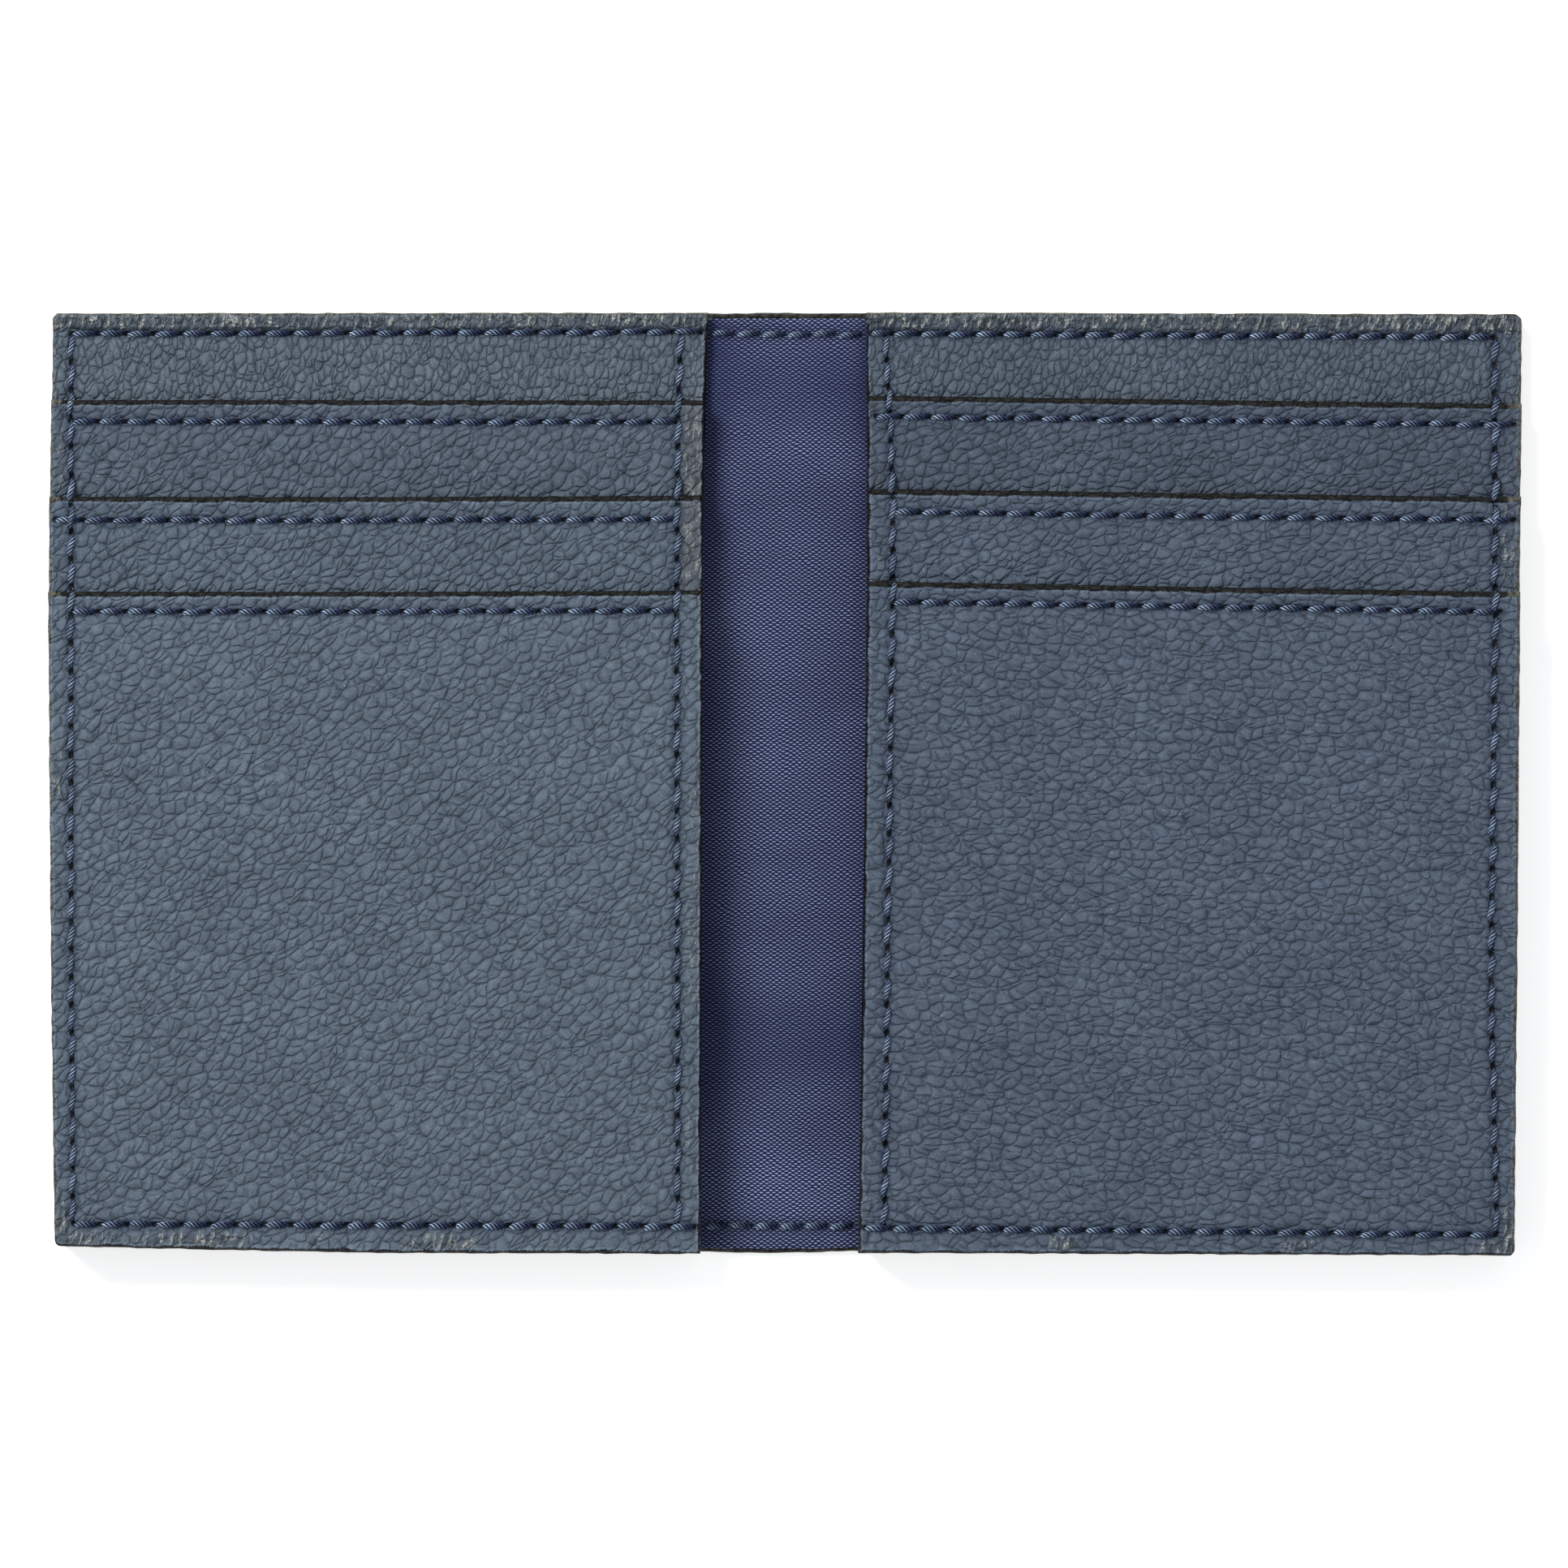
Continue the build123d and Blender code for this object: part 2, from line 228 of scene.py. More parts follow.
def lines(low, high, step, bevel=True):
    """Grid lines from low to high, closer together where the edge is rounded over."""
    ends = np.array([0, 0.04, 0.11, 0.2, 0.3, 0.45]) if bevel else np.array([0.0])
    inner_low, inner_high = low + ends[-1], high - ends[-1]
    count = max(2, int(round((inner_high - inner_low) / step)))
    inner = np.linspace(inner_low, inner_high, count + 1)
    return np.concatenate([low + ends[:-1], inner, high - ends[:-1][::-1]])


def nearest_stitches(u, v, rows):
    """Distance to the nearest stitch hole, and to the nearest row of stitches."""
    hole, line = np.full(u.shape, FAR_OFF), np.full(u.shape, FAR_OFF)
    for row in rows:
        along, across = (v, u) if row.upright else (u, v)
        beyond = np.maximum(np.maximum(row.start - along, along - row.end), 0)
        distance = np.hypot(across - row.at, beyond)
        pitch = (row.end - row.start) / row.count
        steps = (along - row.start) / pitch
        from_hole = np.abs(steps - np.round(steps)) * pitch
        to_hole = np.hypot(distance * HOLE_ACROSS, from_hole * HOLE_ALONG)
        hole = np.where(to_hole < hole, to_hole, hole)
        line = np.where(distance < line, distance, line)
    return hole, line


# ---------------------------------------------------------------- meshes


class Shape:
    """Gathers the mesh of one piece, in ideal places."""

    def __init__(self):
        self.points, self.faces, self.seam, self.wear_and_painted_light = [], [], [], []
        self.count = 0

    def add(self, points, faces, seam, wear_and_painted_light):
        self.faces += [[i + self.count for i in face] for face in faces]
        self.count += len(points)
        self.points.append(points)
        self.seam.append(seam)
        self.wear_and_painted_light.append(wear_and_painted_light)

    def sheet(
        self, sign, us, vs, top, bottom, rows=(), radius=EDGE_RADIUS, cut=False, under=None, wear_and_painted_light=None,
        unpainted=OUTER_PAINT, mouth_paint=0.0,
    ):
        """A closed sheet over the grid us by vs, with rounded edges. A cut sheet goes on past its near edge.

        top and bottom give the heights of its faces. under, the rows of stitches on its underside, asks for
        an underside as fine as the top.
        """
        nu, nv = len(us), len(vs)
        u, v = np.meshgrid(us, vs)
        x = sign * u
        sides = [v - vs[0], us[-1] - u] + ([] if cut else [u - us[0]])
        rim = np.minimum.reduce(sides + [vs[-1] - v])
        mouth = vs[-1] - v + (-mouth_paint if vs[-1] < HALF_HEIGHT - 1 else unpainted)
        paint = np.minimum(np.minimum.reduce(sides) + unpainted, mouth)
        inside = np.clip(radius - rim, 0, radius)
        drop = radius - np.sqrt(radius**2 - inside**2)
        z_top, z_bottom = top(x, v), bottom(x, v)
        drop = np.minimum(drop, (z_top - z_bottom) * (0.6 if under is None else 0.4))
        hole, line = nearest_stitches(u, v, rows)
        worn = np.full((nv, nu, 3), 0.5) if wear_and_painted_light is None else np.stack(wear_and_painted_light(x, v), axis=-1)

        grid = np.arange(nu * nv).reshape(nv, nu)
        around = [(0, i) for i in range(nu)] + [(j, nu - 1) for j in range(1, nv)]
        around += [(nv - 1, i) for i in range(nu - 2, -1, -1)] + [(j, 0) for j in range(nv - 2, 0, -1)]
        j, i = np.array(around).T
        out_u = (i == nu - 1).astype(float) - (0 if cut else (i == 0).astype(float))
        out_v = (j == nv - 1).astype(float) - (j == 0).astype(float)
        rough = 1 + 0.9 * noise(x[j, i] * 0.9 + 5, v[j, i] * 0.9, 61)
        edge_top, edge_bottom = z_top[j, i] - drop[j, i], z_bottom[j, i]
        if under is not None:
            edge_bottom = edge_bottom + drop[j, i]
        rings = [(0.05, 0.3), (0.05, 0.75)] + ([(0.0, 1.0)] if under is None else [])
        layers = [np.stack([x, v, z_top - drop], axis=-1).reshape(-1, 3)]
        for outset, share in rings:
            ring_x = sign * (u[j, i] + outset * rough * out_u)
            ring_z = edge_top + (edge_bottom - edge_top) * share
            layers.append(np.stack([ring_x, v[j, i] + outset * rough * out_v, ring_z], axis=-1))
        if under is not None:
            layers.append(np.stack([x, v, z_bottom + drop], axis=-1).reshape(-1, 3))

        a = grid[:-1, :-1].ravel()
        quads = np.stack([a, a + 1, a + nu + 1, a + nu], axis=-1)
        faces = quads.tolist()
        m = len(around)
        loops = [grid[j, i]] + [np.arange(m) + nu * nv + m * k for k in range(len(rings))]
        if under is not None:
            base = nu * nv + m * len(rings)
            loops.append(grid[j, i] + base)
            faces += (quads[:, ::-1] + base).tolist()
        for upper, lower in zip(loops, loops[1:]):
            faces += np.stack([upper, lower, np.roll(lower, -1), np.roll(upper, -1)], axis=-1).tolist()
        if under is None:
            last = loops[-1].tolist()
            low, high = last[:nu], last[nu + nv - 2 : 2 * nu + nv - 2][::-1]
            right, left = last[nu - 1 : nu + nv - 1], last[2 * nu + nv - 3 :] + last[:1]
            faces += [[low[k], high[k], high[k + 1], low[k + 1]] for k in range(1, nu - 2)]
            faces.append([low[1], low[0], *left[1:-1][::-1], high[0], high[1]])
            faces.append([low[-2], high[-2], *right[::-1]])
        if sign < 0:
            faces = [face[::-1] for face in faces]

        seam = [np.stack([hole, line, paint], axis=-1).reshape(-1, 3)]
        seam += [np.tile([FAR_OFF, FAR_OFF, -0.1], (m, 1)) for _ in rings]
        worn_all = [worn.reshape(-1, 3)] + [worn[j, i] for _ in rings]
        if under is not None:
            hole, line = nearest_stitches(u, v, under)
            seam.append(np.stack([hole, line, paint], axis=-1).reshape(-1, 3))
            worn_all.append(worn.reshape(-1, 3))
        self.add(np.concatenate(layers), faces, np.concatenate(seam), np.concatenate(worn_all))

    def stitch(self, start, end, height, up, turn, thickness, shine):
        """One stitch of three-ply thread that comes up at start and goes down at end."""
        start, end = np.array(start, float), np.array(end, float)
        run = end - start
        t = np.linspace(0, 1, THREAD_SAMPLES)
        along = run / np.linalg.norm(run)
        side = np.array([-along[1], along[0], 0]) * up
        x, y = start[:, None] + run[:, None] * t
        ground = height(x, y)
        chord = ground[0] + (ground[-1] - ground[0]) * t
        ground = np.maximum(ground, chord) if up > 0 else np.minimum(ground, chord)
        ground[1:-1] = (ground[:-2] + 2 * ground[1:-1] + ground[2:]) / 4
        ends = np.abs(2 * t - 1)
        sway = 0.06 * np.sin(2 * math.pi * t)
        x, y = x - along[1] * sway, y + along[0] * sway
        rise = (0.16 if up > 0 else 0.04) * thickness
        centre = np.stack([x, y, ground + up * (rise - 0.6 * ends**7)], axis=-1)
        radius = THREAD_RADIUS * thickness * (1 - 0.55 * ends**2.2)
        normal = np.array([0, 0, 0.85 * up])
        # The end where the thread comes up is pulled high and gets a painted highlight, as if lit from the
        # left. It is the left one in a level row.
        from_left = t if run[0] > 0 else 1 - t
        level = abs(run[0]) > abs(run[1])
        lit = np.clip(1.2 - 1.9 * from_left, 0, 1) if level else 0.82 * (1 - ends**1.2)
        # painted shade towards the ends, where the thread goes down into the leather
        sunk_shade = np.where(from_left < 0.5, ends**4, ends) if level else ends**1.3
        around = np.linspace(0, 2 * math.pi, PLY_SIDES + 1)[:-1]
        n, k = len(t), len(around)
        for ply in range(3):
            phase = turn + ply * 2 * math.pi / 3 + 2 * math.pi * THREAD_TURNS * t
            swing = np.cos(phase)[:, None] * side + np.sin(phase)[:, None] * normal
            strand = centre + (radius * 0.54)[:, None] * swing
            circle = np.cos(around)[:, None] * side + np.sin(around)[:, None] * normal
            points = strand[:, None, :] + (radius * 0.5)[:, None, None] * circle[None]
            ids = np.arange(n * k).reshape(n, k)
            after = np.roll(ids, -1, axis=1)
            faces = np.stack([ids[:-1], after[:-1], after[1:], ids[1:]], axis=-1).reshape(-1, 4).tolist()
            faces += [ids[0][::-1].tolist(), ids[-1].tolist()]
            # painted shade on the side of each ply that faces into the grooves between plies
            groove_shade = 0.5 - 0.5 * np.cos(phase[:, None] - around[None, :])
            ply_shine = shine * (0.82 + 0.18 * math.sin(turn * 3 + ply * 2))
            worn = np.stack([np.repeat(lit * ply_shine, k), np.repeat(sunk_shade, k), groove_shade.ravel()], axis=-1)
            self.add(points.reshape(-1, 3), faces, np.full((n * k, 3), FAR_OFF), worn)

    def piece(self, name, material):
        """Makes the object, moved to its hand-made place."""
        points = np.concatenate(self.points)
        points[:, 0], points[:, 1] = lay(points[:, 0], points[:, 1])
        mesh = bpy.data.meshes.new(name)
        mesh.from_pydata((points * MM).tolist(), [], self.faces)
        # the wear attribute holds wear on the leather, and the painted highlight and shade of the thread and
        # the lining
        data = {"lay": points, "seam": np.concatenate(self.seam), "wear_and_painted_light": np.concatenate(self.wear_and_painted_light)}
        for key, values in data.items():
            attribute = mesh.attributes.new(key, "FLOAT_VECTOR", "POINT")
            attribute.data.foreach_set("vector", values.astype(np.float32).ravel())
        mesh.shade_smooth()
        mesh.set_sharp_from_angle(angle=math.radians(62))
        mesh.materials.append(material)
        piece = bpy.data.objects.new(name, mesh)
        bpy.context.scene.collection.objects.link(piece)
        return piece


# ---------------------------------------------------------------- materials


def rgb(red, green, blue):
    """A linear colour from 8-bit sRGB values."""

    def linear(c):
        return ((c / 255 + 0.055) / 1.055) ** 2.4 if c > 10 else c / 255 / 12.92

    return linear(red), linear(green), linear(blue), 1.0


class Nodes:
    """Short ways to build a material's node tree."""

    def __init__(self, name):
        self.material = bpy.data.materials.new(name)
        self.material.use_nodes = True
        self.tree = self.material.node_tree
        self.shader = self.tree.nodes["Principled BSDF"]

    def add(self, kind, inputs=(), **settings):
        node = self.tree.nodes.new("ShaderNode" + kind)
        for key, value in settings.items():
            setattr(node, key, value)
        for key, value in dict(inputs).items():
            self.put(node.inputs[key], value)
        return node

    def put(self, socket, value):
        if isinstance(value, bpy.types.NodeSocket):
            self.tree.links.new(value, socket)
        else:
            socket.default_value = value

    def math(self, operation, *values, clamp=False):
        return self.add("Math", dict(enumerate(values)), operation=operation, use_clamp=clamp).outputs[0]

    def step(self, value, low, high, out_low=0.0, out_high=1.0):
        """A smooth step from out_low at low to out_high at high."""
        inputs = {"Value": value, "From Min": low, "From Max": high, "To Min": out_low, "To Max": out_high}
        return self.add("MapRange", inputs, interpolation_type="SMOOTHSTEP").outputs[0]

    def mix(self, factor, a, b, blend="MIX"):
        inputs = {0: factor, 6: a, 7: b}
        return self.add("Mix", inputs, data_type="RGBA", blend_type=blend, clamp_factor=True).outputs[2]

    def attribute(self, name):
        split = self.add("SeparateXYZ", {0: self.add("Attribute", attribute_name=name).outputs["Vector"]})
        return split.outputs

    def place(self, angle=0.0, scale=(1, 1, 1), shift=(0, 0, 0)):
        """Coordinates in millimetres, turned by an angle and then stretched."""
        source = self.add("Attribute", attribute_name="lay").outputs["Vector"]
        inputs = {"Vector": source, "Angle": -math.radians(angle)}
        turned = self.add("VectorRotate", inputs, rotation_type="Z_AXIS").outputs[0]
        inputs = {"Vector": turned, "Location": shift, "Scale": scale}
        return self.add("Mapping", inputs).outputs[0]

    def noise(self, vector, scale, detail=2.0, rough=0.5):
        inputs = {"Vector": vector, "Scale": scale, "Detail": detail, "Roughness": rough}
        return self.add("TexNoise", inputs, noise_dimensions="2D")

    def voronoi(self, vector, scale, feature):
        inputs = {"Vector": vector, "Scale": scale}
        return self.add("TexVoronoi", inputs, feature=feature, voronoi_dimensions="2D")

    def finish(self, colour, roughness, height, depth, specular, sheen=0.0):
        bumps = self.add("Bump", {"Height": height, "Distance": depth * MM, "Strength": 1.0})
        self.put(self.shader.inputs["Base Color"], colour)
        self.put(self.shader.inputs["Roughness"], roughness)
        self.put(self.shader.inputs["Normal"], bumps.outputs[0])
        self.shader.inputs["Specular IOR Level"].default_value = specular
        self.shader.inputs["Sheen Weight"].default_value = sheen
        self.shader.inputs["Sheen Roughness"].default_value = 0.4
        return self.material


def leather(name, colour, angle, stretch, cell, seed, crease_shade=0.5):
    """Pebbled leather: soft plates parted by creases, with painted shade in the creases, hollows, stitch
    holes and beside the seams, a painted highlight on raised places, and painted edges.
    """
    n = Nodes(name)
    worn, crumple, outer = n.attribute("wear_and_painted_light")
    hole, line, rim = n.attribute("seam")
    fine = n.noise(n.place(0, (1, 1, 1), (seed, 1, 0)), 4.2, 3.0, 0.65).outputs[0]
    mid = n.noise(n.place(angle, (0.7, 1, 1), (seed, 9, 0)), 1.1, 3.0, 0.6).outputs[0]
    broad = n.noise(n.place(angle, (1, 1, 1), (seed, 3, 0)), 0.09, 3.0).outputs[0]

    def plates(size, stretch, width, low, high, shift):
        """One network of creases: its grooves, the thin line along their bottom, and the domes between."""
        base = n.place(angle, (1 / (size * stretch), 1 / size, 1), (seed + shift, seed * 2, 0))
        wobble = n.noise(base, 0.55, 1.0, 0.5).outputs["Color"]
        bent = n.add("MixRGB", {0: 0.85, 1: base, 2: wobble}, blend_type="ADD").outputs[0]
        ripple = n.noise(base, 1.5, 2.0, 0.5).outputs["Color"]
        bent = n.add("MixRGB", {0: 0.2, 1: bent, 2: ripple}, blend_type="ADD").outputs[0]
        edge = n.voronoi(bent, 1.0, "DISTANCE_TO_EDGE").outputs["Distance"]
        depth = n.step(n.noise(base, 0.55, 2.0).outputs[0], low, high)
        groove = n.math("MULTIPLY", n.step(edge, 0.0, width, 1.0, 0.0), depth)
        bottom = n.math("MULTIPLY", n.step(edge, 0.0, width * 0.38, 1.0, 0.0), depth)
        centre = n.voronoi(bent, 1.0, "F1").outputs["Distance"]
        return groove, bottom, n.math("MULTIPLY", centre, centre)

    wide, wide_line, _ = plates(cell * 1.9, stretch, 0.09, 0.44, 0.62, 0.0)
    small, small_line, dome = plates(cell * 0.86, 1.4, 0.2, 0.18, 0.46, 7.0)
    height = n.math("MULTIPLY_ADD", wide, -0.5, n.math("MULTIPLY", small, -0.5))
    height = n.math("MULTIPLY_ADD", dome, -1.1, height)
    height = n.math("MULTIPLY_ADD", mid, 0.14, n.math("MULTIPLY_ADD", fine, 0.36, height))
    crease_shade_lines = n.math("MAXIMUM", n.math("MULTIPLY", wide_line, 0.9), n.math("MULTIPLY", small_line, 0.5))

    # The narrow margins outside the seams are crinkled across. Their ridges are paler, partly rubbed wear and
    # partly painted highlight, and their hollows carry painted shade.
    crinkle = n.noise(n.place(76, (0.6, 1.9, 1), (seed, 5, 0)), 1.0, 2.0, 0.55).outputs[0]
    ridges = n.step(crinkle, 0.52, 0.62)
    loose = n.math("MAXIMUM", worn, n.math("MULTIPLY", crumple, 0.35))
    folds = n.math("MULTIPLY_ADD", ridges, 0.3, n.math("MULTIPLY", crinkle, 3.0))
    height = n.math("MULTIPLY_ADD", loose, folds, height)
    height = n.math("MULTIPLY_ADD", n.step(hole, 0.1, 0.5), 0.7, height)

    # low_tone is the plain tone, light a painted highlight tone, and dark the painted shade of the creases
    low_tone, light = (tuple(c * k for c in colour) + (1.0,) for k in (0.76, 1.36))
    dark = (colour[0] * 0.26, colour[1] * 0.34, colour[2] * 0.44, 1.0)
    # paler where the noise raises the face: partly random tone, partly a painted highlight on the raised
    # places
    tops = n.math("MULTIPLY_ADD", mid, 0.8, n.math("MULTIPLY", fine, 0.6))
    tint = n.mix(n.step(tops, 0.4, 1.0), low_tone, light)
    tint = n.mix(0.8, tint, n.mix(broad, (0.78, 0.79, 0.81, 1), (1.22, 1.22, 1.2, 1)), "MULTIPLY")
    # painted shade along the bottom of the creases
    tint = n.mix(n.math("MULTIPLY", crease_shade_lines, crease_shade), tint, dark)
    olive = n.math("MULTIPLY", loose, n.step(rim, 0.4, 1.7, 0.6, 0.12))
    tint = n.mix(olive, tint, rgb(66, 68, 66))
    tint = n.mix(n.math("MULTIPLY", crumple, 0.62), tint, rgb(88, 90, 96))
    # painted shade in the hollows of the crinkled margins
    hollow_shade = n.math("MULTIPLY", loose, n.step(crinkle, 0.34, 0.46, 0.5, 0.0))
    tint = n.mix(hollow_shade, tint, rgb(30, 33, 36))
    # paler ridges of the margins: partly rubbed wear, partly painted highlight
    pale = n.math("MULTIPLY", n.math("MULTIPLY", loose, ridges), n.step(fine, 0.3, 0.55))
    tint = n.mix(n.math("MULTIPLY", pale, 0.85), tint, rgb(158, 162, 158))
    palest = n.math("MULTIPLY", pale, n.step(n.math("ADD", fine, crinkle), 1.05, 1.4))
    tint = n.mix(palest, tint, rgb(194, 197, 190))
    # painted shade, tinged blue, beside each row of stitches
    tint = n.mix(n.step(line, 0.2, 1.0, 0.42, 0.0), tint, rgb(24, 38, 64))
    # painted shade in the stitch holes
    tint = n.mix(n.step(n.math("MULTIPLY_ADD", fine, 0.35, hole), 0.42, 0.75, 1.0, 0.0), tint, rgb(3, 5, 12))
    flecks = n.voronoi(n.place(0, (1, 1, 1), (seed, 0, 0)), 0.55, "F1")
    speck = n.step(flecks.outputs["Distance"], 0.02, 0.045, 1.0, 0.0)
    rare = n.math("GREATER_THAN", n.add("SeparateXYZ", {0: flecks.outputs["Color"]}).outputs[0], 0.92)
    tint = n.mix(n.math("MULTIPLY", n.math("MULTIPLY", speck, rare), 0.7), tint, rgb(168, 176, 184))

    # Cut edges: a ragged line, black or burnished grey-olive, with a paler band beside it on the face, partly
    # burnished and partly a painted highlight where the rounded edge meets the light.
    slow = n.noise(n.place(0, (1, 1, 1), (4, seed, 0)), 0.4, 3.0).outputs[0]
    ragged = n.math("MULTIPLY_ADD", n.math("SUBTRACT", fine, 0.5), 0.3, rim)
    ragged = n.math("MULTIPLY_ADD", n.math("SUBTRACT", slow, 0.5), 0.5, ragged)
    band = n.math("MULTIPLY", n.step(ragged, 0.4, 0.5), n.step(ragged, 0.52, 0.7, 1.0, 0.0))
    tint = n.mix(n.math("MULTIPLY", band, 0.55), tint, tuple(c * 1.9 for c in colour) + (1.0,))
    rubbed = n.noise(n.place(0, (1, 1, 1), (0, 0, seed)), 1.6, 5.0, 0.7).outputs[0]
    black = n.mix(n.step(rubbed, 0.58, 0.78), rgb(10, 10, 9), rgb(56, 53, 47))
    burnished = n.mix(n.step(rubbed, 0.35, 0.65), rgb(52, 51, 46), rgb(104, 104, 96))
    tint = n.mix(n.step(ragged, 0.36, 0.46, 1.0, 0.0), tint, n.mix(outer, black, burnished))

    rough = n.math("SUBTRACT", 0.5, n.math("MULTIPLY", crumple, 0.1))
    rough = n.math("MULTIPLY_ADD", crease_shade_lines, 0.2, n.math("MULTIPLY_ADD", fine, 0.1, rough), clamp=True)
    return n.finish(tint, rough, height, 0.3, specular=0.28)


def thread_material():
    """Waxed three-ply polyester: fine fibres along each ply, a painted highlight on the end where a stitch
    comes up, and painted shade in the grooves between plies and where it goes into the leather.
    """
    n = Nodes("thread")
    shine, ends, groove = n.attribute("wear_and_painted_light")
    fibre = n.noise(n.place(20, (3.5, 12, 8)), 1.0, 3.0, 0.6).outputs[0]
    # a shaded and a lit copy of the thread's colour, mixed by the painted highlight
    shaded_thread = n.mix(n.step(fibre, 0.3, 0.7), rgb(8, 18, 44), rgb(32, 54, 102))
    lit_thread = n.mix(n.step(fibre, 0.3, 0.65), rgb(122, 156, 208), rgb(206, 228, 250))
    tint = n.mix(shine, shaded_thread, lit_thread)
    # painted shade in the grooves between plies
    tint = n.mix(n.step(groove, 0.06, 0.5, 0.0, 0.97), tint, rgb(4, 8, 26))
    # painted shade where the thread goes into the leather
    tint = n.mix(n.step(ends, 0.5, 1.0, 0.0, 0.95), tint, rgb(4, 7, 18))
    return n.finish(tint, 0.45, fibre, 0.05, specular=0.3)


def weave(name, warp_pitch, weft_pitch, dark, mid, light, depth=0.07):
    """Short level floats in rows, each row set off by half a float from the next, with painted shade in the
    gaps between them and paler crests, partly the yarn and partly painted highlight.
    """
    n = Nodes(name)
    _, line, rim = n.attribute("seam")
    painted_light = n.attribute("wear_and_painted_light")[0]
    loose = n.noise(n.place(0), 0.35, 2.0).outputs[0]
    x, y, _ = n.add("SeparateXYZ", {0: n.place(0)}).outputs
    x = n.math("ADD", x, n.math("MULTIPLY", loose, 0.5))
    y = n.math("ADD", y, n.math("MULTIPLY", n.noise(n.place(0), 0.5, 2.0).outputs[0], 0.35))
    a, b = n.math("DIVIDE", x, warp_pitch), n.math("DIVIDE", y, weft_pitch)
    along = n.math("SINE", n.math("MULTIPLY", n.math("ADD", a, n.math("FLOOR", b)), math.pi / 2))
    float_ = n.math("MULTIPLY_ADD", n.math("MULTIPLY", along, along), 0.72, 0.28)
    across = n.math("SINE", n.math("MULTIPLY", n.math("FRACT", b), math.pi))
    height = n.math("MULTIPLY", float_, n.math("POWER", across, 0.8))
    patch = n.noise(n.place(8, (0.5, 1, 1)), 0.16, 3.0).outputs[0]
    # painted shade in the gaps between floats, and paler crests that are partly painted highlight
    tint = n.mix(n.step(height, 0.08, 0.42), dark, mid)
    tint = n.mix(n.step(height, 0.42, 0.9), tint, light)
    tint = n.mix(0.9, tint, n.mix(patch, (0.62, 0.63, 0.72, 1), (1.35, 1.35, 1.28, 1)), "MULTIPLY")
    # painted sheen where the bands are paler, painted shade where they are darker
    tint = n.mix(n.step(painted_light, 0.5, 1.0), tint, n.mix(1.0, tint, (1.75, 1.75, 1.6, 1), "MULTIPLY"))
    tint = n.mix(n.step(painted_light, 0.0, 0.5, 0.55, 0.0), tint, rgb(14, 22, 66))
    # painted shade beside the rows of stitches
    tint = n.mix(n.step(line, 0.1, 1.2, 0.45, 0.0), tint, rgb(22, 28, 52))
    tint = n.mix(n.step(rim, 0.0, 0.2, 0.8, 0.0), tint, rgb(24, 27, 38))
    return n.finish(tint, 0.72, height, depth, specular=0.2, sheen=0.12)


def plain_board():
    """Grey fibre board, seen only at its cut edge."""
    n = Nodes("fibre_board")
    fibre = n.noise(n.place(0, (2, 2, 9)), 1.5, 5.0, 0.7).outputs[0]
    tint = n.mix(fibre, rgb(26, 26, 27), rgb(62, 60, 57))
    return n.finish(tint, 0.85, fibre, 0.06, specular=0.2)


THREAD = thread_material()
LINING_CLOTH = weave("lining_weave", 0.345, 0.235, rgb(3, 5, 30), rgb(28, 37, 84), rgb(136, 146, 176))
POCKET_CLOTH = weave("pocket_weave", 0.25, 0.22, rgb(12, 15, 24), rgb(30, 35, 48), rgb(62, 69, 86), 0.05)
BOARD = plain_board()
TONE = (0.9, 0.9, 0.87)  # a leather's own colour, as a share of what it shows in the studio light


def grey(red, green, blue):
    """A leather's own colour, for the sRGB colour that it shows in the studio light."""
    return tuple(c * k for c, k in zip(rgb(red, green, blue), TONE))


# the left half's leathers are paler than the right's: partly a real difference of tone, partly painted light
# falling from the left
GREY_LEFT, GREY_RIGHT = grey(88, 101, 118), grey(79, 91, 110)
LEATHERS = {
    ("left", "top_strip"): leather("leather_left_top", grey(87, 99, 114), 80, 1.5, 0.95, 3.1),
    ("left", "slot_1_facing"): leather("leather_left_slot_1", grey(80, 92, 109), 45, 1.7, 1.15, 11.7),
    ("left", "slot_2_facing"): leather("leather_left_slot_2", grey(84, 97, 114), 40, 1.7, 1.1, 23.3),
    ("left", "front_pocket"): leather("leather_left_front", GREY_LEFT, 36, 1.9, 1.15, 37.9),
    ("right", "top_strip"): leather("leather_right_top", grey(80, 92, 108), 70, 1.5, 0.95, 41.3, 0.36),
    ("right", "slot_1_facing"): leather("leather_right_slot_1", grey(73, 84, 102), 24, 1.8, 1.1, 53.9, 0.36),
    ("right", "slot_2_facing"): leather("leather_right_slot_2", grey(78, 90, 109), 18, 1.8, 1.1, 67.1, 0.36),
    ("right", "front_pocket"): leather("leather_right_front", GREY_RIGHT, -2, 1.9, 1.15, 79.7, 0.36),
    ("left", "outer_cover"): leather("leather_left_cover", grey(86, 97, 111), 35, 1.8, 1.15, 91.3, 0.4),
    ("right", "outer_cover"): leather("leather_right_cover", grey(86, 97, 111), 30, 1.8, 1.15, 97.7, 0.4),
}


# ---------------------------------------------------------------- pieces


def dent(x, y, rows):
    """How far the stitches pull the leather down: a trough under each row, deeper at the holes."""
    hole, line = nearest_stitches(np.abs(x), y, rows)
    return 0.12 * bump(line, 0.75) + 0.28 * bump(hole, 0.36) - 0.05 * bump(line - 1.7, 0.9)


def crumpled(x, y):
    """Where the left panel's inner margin is crushed, beside the pocket mouths."""
    u = -x
    across = np.clip((INNER_U - 0.2 - u) / 0.6, 0, 1)
    along = np.clip((y - 19) / 4, 0, 1) * np.clip((42 - y) / 4, 0, 1)
    return across * along * (x < 0)


